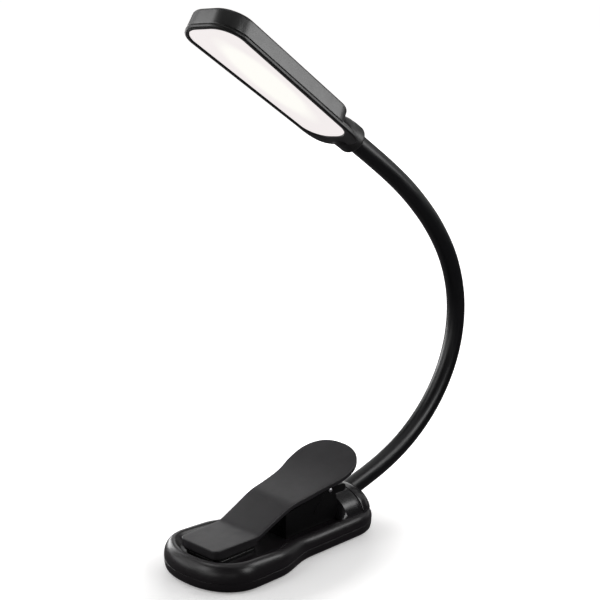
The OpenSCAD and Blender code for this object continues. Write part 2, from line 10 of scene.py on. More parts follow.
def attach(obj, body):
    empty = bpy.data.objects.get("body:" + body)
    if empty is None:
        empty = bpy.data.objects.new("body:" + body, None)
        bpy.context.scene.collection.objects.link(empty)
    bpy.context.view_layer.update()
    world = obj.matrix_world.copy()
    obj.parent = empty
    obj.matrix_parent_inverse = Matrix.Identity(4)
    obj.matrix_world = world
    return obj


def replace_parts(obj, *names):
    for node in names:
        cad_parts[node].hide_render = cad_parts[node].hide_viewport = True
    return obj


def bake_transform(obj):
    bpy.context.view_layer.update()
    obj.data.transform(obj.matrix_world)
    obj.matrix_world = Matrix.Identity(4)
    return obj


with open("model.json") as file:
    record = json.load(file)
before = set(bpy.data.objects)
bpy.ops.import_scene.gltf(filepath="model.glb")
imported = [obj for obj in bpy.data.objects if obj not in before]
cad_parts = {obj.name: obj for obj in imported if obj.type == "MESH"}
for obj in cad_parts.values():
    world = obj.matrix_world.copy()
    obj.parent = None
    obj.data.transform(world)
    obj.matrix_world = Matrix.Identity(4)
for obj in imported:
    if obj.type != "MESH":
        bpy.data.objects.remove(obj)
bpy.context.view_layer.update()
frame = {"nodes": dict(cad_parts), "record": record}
MM = 0.001

# ---------------------------------------------------------------- camera
CAMERA_AT = (-359.24, -373.51, 239.46)  # mm
CAMERA_TURN = (74.0, 0.0, -45.0)  # degrees
LENS = 96.0

camera_data = bpy.data.cameras.new("camera")
camera_data.lens = LENS
camera_data.sensor_width = 36.0
camera_data.clip_start = 0.01
camera_data.clip_end = 50.0
camera = bpy.data.objects.new("camera", camera_data)
camera.location = Vector(CAMERA_AT) * MM
camera.rotation_euler = [math.radians(a) for a in CAMERA_TURN]
bpy.context.scene.collection.objects.link(camera)
bpy.context.scene.camera = camera


# ---------------------------------------------------------------- materials
def node_of(tree, kind, inputs=None, **settings):
    node = tree.nodes.new(kind)
    for key, value in settings.items():
        setattr(node, key, value)
    for key, value in (inputs or {}).items():
        node.inputs[key].default_value = value
    return node


def noise(tree, where, scale, detail=3.0, stretch=(1.0, 1.0, 1.0)):
    """The value of a noise of this scale (per metre), stretched along the axes."""
    mapping = node_of(tree, "ShaderNodeMapping", {"Scale": stretch})
    tree.links.new(where, mapping.inputs["Vector"])
    texture = node_of(tree, "ShaderNodeTexNoise", {"Scale": scale, "Detail": detail, "Roughness": 0.55})
    tree.links.new(mapping.outputs[0], texture.inputs["Vector"])
    return texture.outputs[0]


def mapped(tree, value, low, high, start=0.3, end=0.7):
    ramp = node_of(
        tree, "ShaderNodeMapRange", {"From Min": start, "From Max": end, "To Min": low, "To Max": high}
    )
    tree.links.new(value, ramp.inputs["Value"])
    return ramp.outputs[0]


COAT_ROUGH = 0.08


def surface(
    name,
    colour,
    rough=0.35,
    rough_spread=0.06,
    colour_spread=0.12,
    mottle=110.0,
    grain=5200.0,
    grain_height=0.004,
    wave=160.0,
    wave_height=0.0,
    stretch=(1.0, 1.0, 1.0),
    specular=0.5,
    coat=0.0,
    metallic=0.0,
):
    """A moulded, rubbery or metal surface: mottled colour, uneven roughness, fine grain and slow waviness.
    Heights are in millimetres and scales per metre."""
    material = bpy.data.materials.new(name)
    material.use_nodes = True
    tree = material.node_tree
    shader = tree.nodes["Principled BSDF"]
    where = node_of(tree, "ShaderNodeTexCoord").outputs["Object"]
    tint = node_of(tree, "ShaderNodeValToRGB")
    dark = [c * (1 - colour_spread) for c in colour]
    light = [c * (1 + colour_spread) for c in colour]
    tint.color_ramp.elements[0].position = 0.34
    tint.color_ramp.elements[1].position = 0.68
    tint.color_ramp.elements[0].color = (*dark, 1.0)
    tint.color_ramp.elements[1].color = (*light, 1.0)
    tree.links.new(noise(tree, where, mottle, 4.0, stretch), tint.inputs["Fac"])
    tree.links.new(tint.outputs["Color"], shader.inputs["Base Color"])
    smudges = noise(tree, where, mottle * 2.3, 5.0, stretch)
    uneven = mapped(tree, smudges, rough - rough_spread, rough + rough_spread)
    tree.links.new(uneven, shader.inputs["Roughness"])
    fine = node_of(tree, "ShaderNodeBump", {"Strength": 1.0, "Distance": grain_height * MM})
    tree.links.new(noise(tree, where, grain, 2.0, stretch), fine.inputs["Height"])
    if wave_height:
        slow = node_of(tree, "ShaderNodeBump", {"Strength": 1.0, "Distance": wave_height * MM})
        tree.links.new(noise(tree, where, wave, 1.0), slow.inputs["Height"])
        tree.links.new(slow.outputs[0], fine.inputs["Normal"])
    tree.links.new(fine.outputs[0], shader.inputs["Normal"])
    shader.inputs["Metallic"].default_value = metallic
    shader.inputs["Specular IOR Level"].default_value = specular
    shader.inputs["Coat Weight"].default_value = coat
    shader.inputs["Coat Roughness"].default_value = COAT_ROUGH
    return material


SHELL = surface("shell_plastic", (0.006, 0.0046, 0.0058), 0.33, 0.03, specular=0.5, grain_height=0.0003)
VAULT = surface("vault_plastic", (0.009, 0.0085, 0.0095), 0.24, 0.03, specular=0.6, grain_height=0.0003)
BRACKET = surface("bracket_plastic", (0.0035, 0.0033, 0.0036), 0.45, 0.06, specular=0.15, grain_height=0.0008)
LEVER = surface("lever_plastic", (0.013, 0.0118, 0.0135), 0.4, 0.04, specular=0.5, grain_height=0.001)
JAW = surface(
    "jaw_rubber", (0.003, 0.003, 0.003), 0.3, 0.05, specular=0.35, grain_height=0.0015, grain=2600.0
)
SOLE = surface("sole_rubber", (0.014, 0.014, 0.014), 0.7, 0.08, specular=0.3, grain_height=0.02, grain=2200.0)
NECK = surface(
    "neck_rubber", (0.0012, 0.0012, 0.0018), 0.34, 0.03, specular=0.4, grain_height=0.0005, mottle=60.0
)
COVER = surface(
    "cover_plastic", (0.01, 0.01, 0.01), 0.34, 0.03, specular=0.6, grain_height=0.0008, mottle=80.0
)
FRAME = surface("frame_plastic", (0.007, 0.0068, 0.0068), 0.38, 0.04, specular=0.4, grain_height=0.0008)
BUTTON = surface("button_plastic", (0.02, 0.02, 0.021), 0.3, 0.05, specular=0.5, grain_height=0.0008)
STEEL = surface(
    "steel", (0.78, 0.78, 0.8), 0.36, 0.06, 0.08, metallic=1.0, grain_height=0.0006, stretch=(1, 6, 1)
)
SPRING = surface(
    "spring_steel", (0.5, 0.5, 0.53), 0.26, 0.06, 0.1, metallic=1.0, grain_height=0.001, mottle=500.0
)
BOARD = surface("board_green", (0.008, 0.07, 0.025), 0.4, 0.1, 0.25, grain_height=0.004, mottle=600.0)
BOARD_WHITE = surface("board_white", (0.75, 0.75, 0.73), 0.45, 0.08, 0.04, grain_height=0.003, mottle=400.0)
CHIPS = surface("chips", (0.01, 0.01, 0.011), 0.5, 0.1, grain_height=0.004)
CELL = surface("cell_wrap", (0.35, 0.37, 0.4), 0.35, 0.1, 0.1, metallic=0.6, wave_height=0.05, wave=300.0)
TRAY = surface("tray_plastic", (0.8, 0.79, 0.77), 0.5, 0.08, 0.03, grain_height=0.003)
LED = surface("led_phosphor", (0.75, 0.6, 0.18), 0.5, 0.1, 0.12, grain_height=0.01, grain=9000.0)
LENS_CLEAR = surface("indicator_lens", (0.42, 0.44, 0.46), 0.2, 0.05, 0.06, grain_height=0.0005, coat=0.5)

SLOTS = {
    "shell": SHELL, "vault": VAULT, "lever": LEVER, "jaw_rubber": JAW, "sole_rubber": SOLE,
    "neck_rubber": NECK, "steel": STEEL, "spring_steel": SPRING, "cover": COVER, "frame": FRAME,
    "tray": TRAY, "board_white": BOARD_WHITE, "board_green": BOARD, "chips": CHIPS, "leds": LED,
    "cell": CELL, "button": BUTTON, "lens": LENS_CLEAR,
}


# the creamy patch on the lit window: its stretch per metre, its shift and the width of its wobble
PATCH_SCALE, PATCH_SHIFT, PATCH_WOBBLE = (31.0, 122.0, 0.0), (0.1, 0.0, 0.0), 0.16
PATCH_CREAM, PATCH_PINK = (0.96, 0.945, 0.9, 1.0), (0.86, 0.815, 0.81, 1.0)
# how much of the window's glow reaches the other pieces, beside 1 to the eye
WINDOW_GLOW = 0.12


def diffuser_material():
    """Milky plastic lit from behind: a creamy middle that fades to a faint pink white at the ends."""
    material = bpy.data.materials.new("diffuser_milk")
    material.use_nodes = True
    tree = material.node_tree
    shader = tree.nodes["Principled BSDF"]
    where = node_of(tree, "ShaderNodeTexCoord").outputs["Object"]
    squeeze = node_of(tree, "ShaderNodeMapping", {"Scale": PATCH_SCALE, "Location": PATCH_SHIFT})
    tree.links.new(where, squeeze.inputs["Vector"])
    length = node_of(tree, "ShaderNodeVectorMath", operation="LENGTH")
    tree.links.new(squeeze.outputs[0], length.inputs[0])
    wobble = node_of(tree, "ShaderNodeMath", operation="MULTIPLY_ADD")
    wobble.inputs[1].default_value = PATCH_WOBBLE
    tree.links.new(noise(tree, where, 90.0, 2.0), wobble.inputs[0])
    tree.links.new(length.outputs["Value"], wobble.inputs[2])
    tint = node_of(tree, "ShaderNodeValToRGB")
    tint.color_ramp.elements[0].position = 0.72
    tint.color_ramp.elements[1].position = 0.98
    tint.color_ramp.elements[0].color = PATCH_CREAM
    tint.color_ramp.elements[1].color = PATCH_PINK
    tree.links.new(wobble.outputs[0], tint.inputs["Fac"])
    tree.links.new(tint.outputs["Color"], shader.inputs["Emission Color"])
    seen = node_of(tree, "ShaderNodeLightPath").outputs["Is Camera Ray"]
    tree.links.new(mapped(tree, seen, WINDOW_GLOW, 1.0, 0.0, 1.0), shader.inputs["Emission Strength"])
    shader.inputs["Base Color"].default_value = (0.12, 0.118, 0.115, 1.0)
    shader.inputs["Specular IOR Level"].default_value = 0.2
    smudges = noise(tree, where, 260.0, 4.0)
    tree.links.new(mapped(tree, smudges, 0.32, 0.44), shader.inputs["Roughness"])
    bump = node_of(tree, "ShaderNodeBump", {"Strength": 1.0, "Distance": 0.002 * MM})
    tree.links.new(noise(tree, where, 4200.0, 2.0), bump.inputs["Height"])
    tree.links.new(bump.outputs[0], shader.inputs["Normal"])
    return material


DIFFUSER = diffuser_material()
SLOTS["diffuser"] = DIFFUSER
for row in frame["record"]["subparts"]:
    node_object = frame["nodes"][row["node"]]
    node_object.data.materials.clear()
    node_object.data.materials.append(SLOTS[row["material_slot"]])


# ---------------------------------------------------------------- mesh helpers (all in mm)
def lerp(a, b, t):
    return a + (b - a) * t


def ease(t):
    return 0.5 - 0.5 * math.cos(math.pi * min(1.0, max(0.0, t)))


def superellipse(a, b, n, degrees):
    """A point of the first quarter of |x/a|^n + |y/b|^n = 1."""
    angle = math.radians(degrees)
    c, s = max(0.0, math.cos(angle)), max(0.0, math.sin(angle))
    return a * c ** (2 / n), b * s ** (2 / n)


def finished(name, points, faces, material, slot, sharp=38.0, merge=0.004, matrix=None):
    """A new object from points in mm, with doubles merged, normals outward and smooth shading."""
    mesh = bpy.data.meshes.new(name)
    mesh.from_pydata([tuple(float(c) * MM for c in p) for p in points], [], faces)
    work = bmesh.new()
    work.from_mesh(mesh)
    bmesh.ops.remove_doubles(work, verts=work.verts, dist=merge * MM)
    bmesh.ops.dissolve_degenerate(work, dist=merge * MM * 0.5, edges=work.edges)
    bmesh.ops.recalc_face_normals(work, faces=work.faces)
    work.to_mesh(mesh)
    work.free()
    if matrix is not None:
        mesh.transform(matrix)
    shade(mesh, sharp)
    mesh.materials.append(material)
    piece = bpy.data.objects.new(name, mesh)
    bpy.context.scene.collection.objects.link(piece)
    return piece


def shade(mesh, sharp):
    mesh.polygons.foreach_set("use_smooth", [True] * len(mesh.polygons))
    mesh.set_sharp_from_angle(angle=math.radians(sharp))
    mesh.update()


def loft(rings, cap_start=True, cap_end=True, closed=False):
    """Points and faces of a skin through rings of equally many points."""
    count, total = len(rings[0]), len(rings)
    points = [p for ring in rings for p in ring]
    faces = []
    for i in range(total if closed else total - 1):
        k = (i + 1) % total
        for j in range(count):
            n = (j + 1) % count
            faces.append((i * count + j, i * count + n, k * count + n, k * count + j))
    if cap_start and not closed:
        faces.append(tuple(range(count - 1, -1, -1)))
    if cap_end and not closed:
        faces.append(tuple((total - 1) * count + j for j in range(count)))
    return points, faces


def merged(*parts):
    points, faces = [], []
    for p, f in parts:
        offset = len(points)
        points += list(p)
        faces += [tuple(i + offset for i in face) for face in f]
    return points, faces


def moved(part, matrix):
    """The part with its points taken through a matrix whose translation is in mm."""
    return [tuple(matrix @ Vector(p)) for p in part[0]], part[1]


def cut(piece, *cutters, sharp=38.0):
    """Takes the cutters, (points, faces) in mm, out of the piece."""
    for i, (points, faces) in enumerate(cutters):
        mesh = bpy.data.meshes.new("cutter")
        mesh.from_pydata([tuple(float(c) * MM for c in p) for p in points], [], faces)
        work = bmesh.new()
        work.from_mesh(mesh)
        bmesh.ops.recalc_face_normals(work, faces=work.faces)
        work.to_mesh(mesh)
        work.free()
        tool = bpy.data.objects.new("cutter", mesh)
        bpy.context.scene.collection.objects.link(tool)
        modifier = piece.modifiers.new(f"cut{i}", "BOOLEAN")
        modifier.operation = "DIFFERENCE"
        modifier.solver = "EXACT"
        modifier.object = tool
        apply_modifiers(piece)
        bpy.data.objects.remove(tool)
    shade(piece.data, sharp)


def apply_modifiers(piece):
    graph = bpy.context.evaluated_depsgraph_get()
    done = bpy.data.meshes.new_from_object(piece.evaluated_get(graph))
    old = piece.data
    piece.modifiers.clear()
    piece.data = done
    bpy.data.meshes.remove(old)


def refined(node_name, piece_name, material, width=0.2, segments=2, angle=35.0, flat=3.0):
    """A copy of a CAD node's shape with its flat faces joined up and its edges rounded."""
    mesh = frame["nodes"][node_name].data.copy()
    work = bmesh.new()
    work.from_mesh(mesh)
    bmesh.ops.remove_doubles(work, verts=work.verts, dist=0.003 * MM)
    bmesh.ops.dissolve_limit(
        work, angle_limit=math.radians(flat), verts=work.verts, edges=work.edges, delimit=set()
    )
    bmesh.ops.recalc_face_normals(work, faces=work.faces)
    work.to_mesh(mesh)
    work.free()
    mesh.materials.clear()
    mesh.materials.append(material)
    piece = bpy.data.objects.new(piece_name, mesh)
    bpy.context.scene.collection.objects.link(piece)
    bevel = piece.modifiers.new("round", "BEVEL")
    bevel.width = width * MM
    bevel.segments = segments
    bevel.limit_method = "ANGLE"
    bevel.angle_limit = math.radians(angle)
    bevel.use_clamp_overlap = True
    apply_modifiers(piece)
    shade(piece.data, 50.0)
    return piece


def half_normals(half):
    """Outward normals (nx, nw) along a half outline of (x, half width) points."""
    out = []
    for i in range(len(half)):
        if i == 0:
            out.append((-1.0, 0.0))
        elif i == len(half) - 1:
            out.append((1.0, 0.0))
        else:
            dx = half[i + 1][0] - half[i - 1][0]
            dw = half[i + 1][1] - half[i - 1][1]
            size = math.hypot(dx, dw) or 1.0
            out.append((-dw / size, dx / size))
    return out


def inset_half(half, d, normals):
    """The half outline moved inwards by d, and never across the middle line."""
    return [(x - nx * d, max(0.0, w - nw * d)) for (x, w), (nx, nw) in zip(half, normals)]


def slab(half, rings, across=10):
    """A flat body with a mirrored outline. rings go from the top face's edge round to the bottom face's edge
    as (inset, height), where height is a number or a function of (x, y)."""
    normals = half_normals(half)

    def place(x, y, height):
        return (x, y, height(x, y) if callable(height) else height)

    loops, ends = [], []
    for inset, height in rings:
        h = inset_half(half, inset, normals)
        spread = [1 - 2 * k / across for k in range(across + 1)]
        front = [(h[0][0], h[0][1] * s) for s in spread[:-1]]
        right = [(x, -w) for x, w in h[:-1]]
        back = [(h[-1][0], -h[-1][1] * s) for s in spread[:-1]]
        left = [(x, w) for x, w in reversed(h[1:])]
        loops.append([place(x, y, height) for x, y in front + right + back + left])
        ends.append((h, height))
    skin = loft(loops, cap_start=False, cap_end=False)
    grids = []
    for h, height in (ends[0], ends[-1]):
        points = [place(x, w * (1 - 2 * k / across), height) for x, w in h for k in range(across + 1)]
        step = across + 1
        faces = [
            (i * step + k, i * step + k + 1, (i + 1) * step + k + 1, (i + 1) * step + k)
            for i in range(len(h) - 1)
            for k in range(across)
        ]
        grids.append((points, faces))
    return merged(skin, *grids)


def fillet(radius, top, steps=4, inset=0.0, downwards=True):
    """(inset, height) pairs round an edge, from a face's edge to the wall or back."""
    rows = []
    for i in range(steps + 1):
        a = math.pi / 2 * i / steps
        d = inset + radius * (1 - math.sin(a))
        drop = radius * (1 - math.cos(a))
        rows.append((d, offset(top, -drop if downwards else drop)))
    return rows


def offset(height, amount):
    if callable(height):
        return lambda x, y: height(x, y) + amount
    return height + amount


def rounded_slab_half(x0, x1, half_w, corner, steps=7):
    """The half outline of a straight pad with four round corners."""
    arc = [math.radians(90.0 * i / steps) for i in range(steps + 1)]
    front = [(x0 + corner * (1 - math.cos(a)), half_w - corner * (1 - math.sin(a))) for a in arc]
    back = [(x1 - corner * (1 - math.cos(a)), half_w - corner * (1 - math.sin(a))) for a in reversed(arc)]
    middle = [(lerp(x0 + corner, x1 - corner, t), half_w) for t in (0.2, 0.4, 0.6, 0.8)]
    return front + middle + back


def tube(path, radius, sides=16):
    """A round wire through points in mm."""
    path = [Vector(p) for p in path]
    turns = [2 * math.pi * k / sides for k in range(sides)]
    side = None
    rings = []
    for i, p in enumerate(path):
        along = (path[min(i + 1, len(path) - 1)] - path[max(i - 1, 0)]).normalized()
        if side is None:
            side = along.cross(Vector((0, 0, 1)) if abs(along.z) < 0.9 else Vector((0, 1, 0))).normalized()
        side = (side - along * side.dot(along)).normalized()
        other = along.cross(side)
        rings.append([tuple(p + radius * (math.cos(a) * side + math.sin(a) * other)) for a in turns])
    # a slightly domed end: a smaller ring just past each end
    for end, inner in ((0, 1), (-1, -2)):
        centre = path[end]
        away = (centre - path[inner]).normalized() * radius * 0.35
        small = [tuple(centre + away + (Vector(q) - centre) * 0.7) for q in rings[end]]
        if end == 0:
            rings.insert(0, small)
        else:
            rings.append(small)
    return loft(rings)


def lathe(profile, sides=40):
    """A body turned about Z from (radius, height) points."""
    rings = [
        [
            (r * math.cos(2 * math.pi * k / sides), r * math.sin(2 * math.pi * k / sides), z)
            for k in range(sides)
        ]
        for r, z in profile
    ]
    return loft(rings)


def prism_xz(outline, y0, y1, edge=0.2):
    """A plate between y0 and y1 with this outline in x and z and chamfered edges."""
    count = len(outline)
    normals = []
    for i in range(count):
        a, b = outline[i - 1], outline[(i + 1) % count]
        t = Vector((b[0] - a[0], b[1] - a[1])).normalized()
        normals.append((t.y, -t.x))
    area = sum(
        outline[i][0] * outline[(i + 1) % count][1] - outline[(i + 1) % count][0] * outline[i][1]
        for i in range(count)
    )
    sign = 1 if area > 0 else -1

    def ring(inset, y):
        return [(x - sign * n[0] * inset, y, z - sign * n[1] * inset) for (x, z), n in zip(outline, normals)]

    return loft(
        [
            ring(edge, y0),
            ring(edge * 0.3, y0 + edge * 0.3),
            ring(0, y0 + edge),
            ring(0, y1 - edge),
            ring(edge * 0.3, y1 - edge * 0.3),
            ring(edge, y1),
        ]
    )


# ---------------------------------------------------------------- base shell
FRONT_X, BASE_LEN, LOBE_W, WAIST_W = -41.0, 84.4, 41.0, 32.4
LOBE_X, LOBE_END_X, WAIST_X, TAIL_X, PLAN_N = -25.0, -15.0, 4.0, 28.0, 2.2
DECK_Z, LOBE_RIM_Z, SHOULDER_Z, BELLY_Z = 7.0, 9.7, 7.6, 4.4
RIM_IN, RIM_FOOT = 3.4, 6.2
REAR_X = FRONT_X + BASE_LEN


def side_y(x):
    """The base's half width between the lobe and the waist."""
    return lerp(LOBE_W / 2, WAIST_W / 2, ease((x - LOBE_END_X) / (WAIST_X - LOBE_END_X)))


def base_half():
    """The base's half outline from the lobe's front round to the rear."""
    half = []
    for a in range(0, 91, 3):
        x, y = superellipse(LOBE_X - FRONT_X, LOBE_W / 2, PLAN_N, a)
        half.append((LOBE_X - x, y))
    half += [(x, side_y(x)) for x in (lerp(LOBE_END_X, WAIST_X, i / 18) for i in range(19))]
    half += [(x, WAIST_W / 2) for x in (6.5, 9, 12, 15, 18, 21, 24, 26)]
    for a in range(90, -1, -3):
        x, y = superellipse(REAR_X - TAIL_X, WAIST_W / 2, PLAN_N, a)
        half.append((TAIL_X + x, y))
    return half


def crest_z(x, y=0.0):
    """The height of the rim's crest, which sinks from the lobe to the shoulder."""
    return lerp(LOBE_RIM_Z, SHOULDER_Z, ease((x + 30.0) / 40.0))


def between(share, low):
    return lambda x, y: low + share * (crest_z(x) - low)


def base_rings():
    """The shell's section from the deck over the rim, down the skirt and up inside it, as (inset, height)."""
    rings = [(RIM_FOOT, DECK_Z)]
    for i in range(9, -1, -1):
        t = i / 10
        rings.append((lerp(RIM_IN, RIM_FOOT, t), between(0.5 + 0.5 * math.cos(math.pi * t), DECK_Z)))
    for a in range(84, -1, -6):
        angle = math.radians(a)
        rings.append((RIM_IN * (1 - math.cos(angle)), between(math.sin(angle), BELLY_Z)))
    # the parting groove and the skirt
    rings += [(0.02, 3.95), (0.04, 3.78), (0.17, 3.7), (0.17, 3.58), (0.05, 3.5)]
    rings += [(0.07, 2.9), (0.12, 2.0), (0.3, 1.1), (0.46, 0.68), (0.62, 0.5)]
    rings += [(2.0, 0.5), (2.25, 0.7), (2.3, 1.2), (2.3, 4.0)]
    return rings


def along_axis(origin, direction):
    """A matrix, with its translation in mm, that takes +Z to this direction from this origin."""
    return Matrix.Translation(Vector(origin)) @ Vector(direction).to_track_quat("Z", "Y").to_matrix().to_4x4()


def slot_cutter(origin, direction, half_w, radius, depth, up=(0, 0, 1)):
    """A long round-ended plug along direction, widest across up x direction."""
    z = Vector(direction).normalized()
    x = Vector(up).cross(z).normalized()
    y = z.cross(x)
    outline = []
    for k in range(32):
        a = 2 * math.pi * (k + 0.5) / 32
        shift = (half_w - radius) * (1 if math.cos(a) > 0 else -1)
        outline.append((shift + radius * math.cos(a), radius * math.sin(a)))
    rings = [
        [tuple(Vector(origin) + x * p[0] + y * p[1] + z * d) for p in outline] for d in (0.0, depth)
    ]
    return loft(rings)


PORT_Z, PORT_W, PORT_H = 4.4, 7.6, 2.8
LAMP_Y, LAMP_Z, LAMP_R = 7.0, 4.8, 0.8
BUTTON_X, BUTTON_Z, BUTTON_L, BUTTON_H = 22.0, 3.7, 6.5, 2.0
NECK_START, NECK_EXIT = (36.3, 10.0), math.radians(14.7)
NECK_R = 3.45
PORT_GAP, LAMP_GAP, BUTTON_GAP, NECK_GAP, CUT_DEPTH = 0.15, 0.06, 0.12, 0.12, 8
exit_axis = Vector((math.cos(NECK_EXIT), 0, math.sin(NECK_EXIT)))
neck_root = Vector((NECK_START[0], 0, NECK_START[1]))

shell = finished("base_shell_moulding", *slab(base_half(), base_rings(), across=12), SHELL, "shell")
rear_wall = REAR_X - 4.5
button_wall = WAIST_W / 2 - 2.6
button_slot = (BUTTON_L / 2 + BUTTON_GAP, BUTTON_H / 2 + BUTTON_GAP)
neck_plug = lathe([(NECK_R + NECK_GAP, 0.0), (NECK_R + NECK_GAP, 14.0)])
cut(
    shell,
    slot_cutter((rear_wall, 0, PORT_Z), (1, 0, 0), PORT_W / 2 + PORT_GAP, PORT_H / 2 + PORT_GAP, CUT_DEPTH),
    slot_cutter((rear_wall, LAMP_Y, LAMP_Z), (1, 0, 0), LAMP_R + LAMP_GAP, LAMP_R + LAMP_GAP, CUT_DEPTH),
    slot_cutter((BUTTON_X, button_wall, BUTTON_Z), (0, 1, 0), *button_slot, CUT_DEPTH),
    moved(neck_plug, along_axis(neck_root + exit_axis, exit_axis)),
)
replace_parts(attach(shell, "base"), "base_shell")


# ---------------------------------------------------------------- rear housing
VAULT_W, VAULT_TOP, VAULT_FOOT = 23.6, 15.0, 7.65
VAULT_X0, VAULT_X1, SEAM, CAP_END = 24.5, 33.0, 0.25, 41.5
ARCH_N, FOOT_SPLAY, CAP_N = 2.3, 0.14, 2.4
FRONT_RUN, FRONT_END = 2.6, 0.6
VAULT_H = VAULT_TOP - VAULT_FOOT


def arch_ring(x, tall=1.0, wide=1.0, inset=0.0, foot=0.3, steps=36):
    """The housing's arched section at x, with a splayed foot sunk a little into the base."""
    points = []
    for i in range(steps + 1):
        a = math.pi * i / steps
        c, s = math.cos(a), max(0.0, math.sin(a))
        splay = 1 + FOOT_SPLAY * (1 - s) ** 2
        y = (VAULT_W / 2 - inset) * splay * wide * math.copysign(abs(c) ** (2 / ARCH_N), c)
        points.append((x, y, VAULT_FOOT + (VAULT_H - inset) * tall * s ** (2 / ARCH_N)))
    half = (VAULT_W / 2 - inset) * (1 + FOOT_SPLAY) * wide
    return points + [(x, -half, VAULT_FOOT - foot), (x, half, VAULT_FOOT - foot)]


def cap_share(t):
    """The share of the cap's height left at t of the way along it."""
    return (1 - t**CAP_N) ** (1 / CAP_N)


# the housing's front slopes down to the deck
vault_rings = []
for i in range(11):
    left = 1 - i / 10
    front_x = VAULT_X0 + FRONT_END - FRONT_RUN * left**1.6
    vault_rings.append(arch_ring(front_x, 1 - left**2.2, 1 - 0.03 * left))
vault_rings += [arch_ring(x) for x in (27.0, 29.0, 31.0, 32.7)]
vault_rings += [arch_ring(VAULT_X1 - dx, inset=d) for dx, d in ((0.14, 0.03), (0.05, 0.1), (0.0, 0.2))]
vault_rings += [arch_ring(VAULT_X1, inset=0.7)]
vault = finished("rear_vault_moulding", *loft(vault_rings), VAULT, "vault", sharp=30.0)
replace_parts(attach(vault, "base"), "rear_vault_cover")

cap_x0 = VAULT_X1 + SEAM
cap_rings = [arch_ring(cap_x0 - 0.1, inset=0.7), arch_ring(cap_x0, inset=0.7), arch_ring(cap_x0, inset=0.2)]
cap_rings += [arch_ring(cap_x0 + 0.05, inset=0.1), arch_ring(cap_x0 + 0.14, inset=0.03)]
for t in [0.04, 0.1] + [0.16 + 0.06 * i for i in range(11)] + [0.8, 0.84, 0.88, 0.91, 0.94, 0.96, 0.98]:
    cap_rings.append(arch_ring(lerp(cap_x0, CAP_END, t), cap_share(t), cap_share(t) ** 0.85, foot=0.25))
cap = finished("rear_cap_moulding", *loft(cap_rings), VAULT, "vault", sharp=34.0)
cap_plug = lathe([(NECK_R + 0.14, -0.5), (NECK_R + 0.14, 16.0)])
cut(cap, moved(cap_plug, along_axis(neck_root, exit_axis)), sharp=34.0)
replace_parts(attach(cap, "base"), "rear_cap")


# ---------------------------------------------------------------- small things on the base
def pill_button():
    """A round-ended button with a flange behind the wall and a shallow dish in its face."""
    outline = []
    for k in range(40):
        a = 2 * math.pi * (k + 0.5) / 40
        shift = (BUTTON_L - BUTTON_H) / 2 * (1 if math.cos(a) > 0 else -1)
        outline.append((shift, math.cos(a), math.sin(a)))
    out_y = WAIST_W / 2 + 0.45
    rings = []
    for radius, y in (
        (1.3, out_y - 3.2), (1.3, out_y - 2.75), (1.0, out_y - 2.75), (1.0, out_y - 0.25),
        (0.93, out_y - 0.08), (0.78, out_y), (0.62, out_y), (0.5, out_y - 0.1), (0.2, out_y - 0.14),
    ):
        rings.append([(BUTTON_X + s + radius * c, y, BUTTON_Z + radius * v) for s, c, v in outline])
    return loft(rings)


button = finished("power_button_cap", *pill_button(), BUTTON, "button")
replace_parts(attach(button, "button"), "power_button")

lens_profile = [(0.78, -1.6), (0.78, -0.1), (0.72, 0.0), (0.5, 0.1), (0.25, 0.15), (0.05, 0.16)]
lamp = finished(
    "indicator_window",
    *moved(lathe(lens_profile, 24), along_axis((REAR_X - 1.32, LAMP_Y, LAMP_Z), (1, 0, 0))),
    LENS_CLEAR,
    "lens",
)
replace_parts(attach(lamp, "base"), "indicator_lens")

# ---------------------------------------------------------------- lever
LEVER_X0, CREASE1_X, CREASE2_X, CREASE2_Z, TIP_X = -34.6, -15.6, -0.4, 19.3, 35.4
PAD_TOP, LEVER_T, BLOCK_Z, RUBBER_Z = 12.5, 1.7, 9.4, 8.3
TONGUE_X, TONGUE_W, PAD_W, PAD_CORNER = 25.0, 13.7, 9.3, 2.2
LEVER_WIDTHS = [(CREASE1_X, 9.8), (CREASE2_X, 10.3), (8.0, 10.9), (16.0, 11.9), (21.0, 13.3)]
PIN = (20.4, 18.6)
CHEEK_R, CHEEK_IN, CHEEK_OUT = 2.1, 5.5, 7.3


def handle_z(x):
    """The handle's top past the second crease, which curls up a little towards its tip."""
    s = x - CREASE2_X
    return CREASE2_Z + 0.16 * s + 0.0001136 * s**3


def quadratic(a, b, c, steps):
    out = []
    for i in range(steps + 1):
        t = i / steps
        out.append(tuple((1 - t) ** 2 * p + 2 * t * (1 - t) * q + t * t * r for p, q, r in zip(a, b, c)))
    return out


lever_line = [(LEVER_X0 - 1, PAD_TOP)]
lever_line += quadratic(
    (CREASE1_X - 1.6, PAD_TOP), (CREASE1_X, PAD_TOP), (CREASE1_X + 1.5, PAD_TOP + 0.667), 8
)
lever_line += quadratic(
    (CREASE2_X - 3, CREASE2_Z - 1.34), (CREASE2_X, CREASE2_Z), (CREASE2_X + 3, handle_z(CREASE2_X + 3)), 10
)
lever_line += [(CREASE2_X + 4 + i, handle_z(CREASE2_X + 4 + i)) for i in range(33)]
line_x, line_z = np.array(lever_line).T


def lever_top(x, y=0.0):
    return float(np.interp(x, line_x, line_z))


def lever_low(x, y=0.0):
    plate = lever_top(x) - LEVER_T
    return float(lerp(BLOCK_Z, plate, ease((x - CREASE1_X + 0.6) / 0.25)))


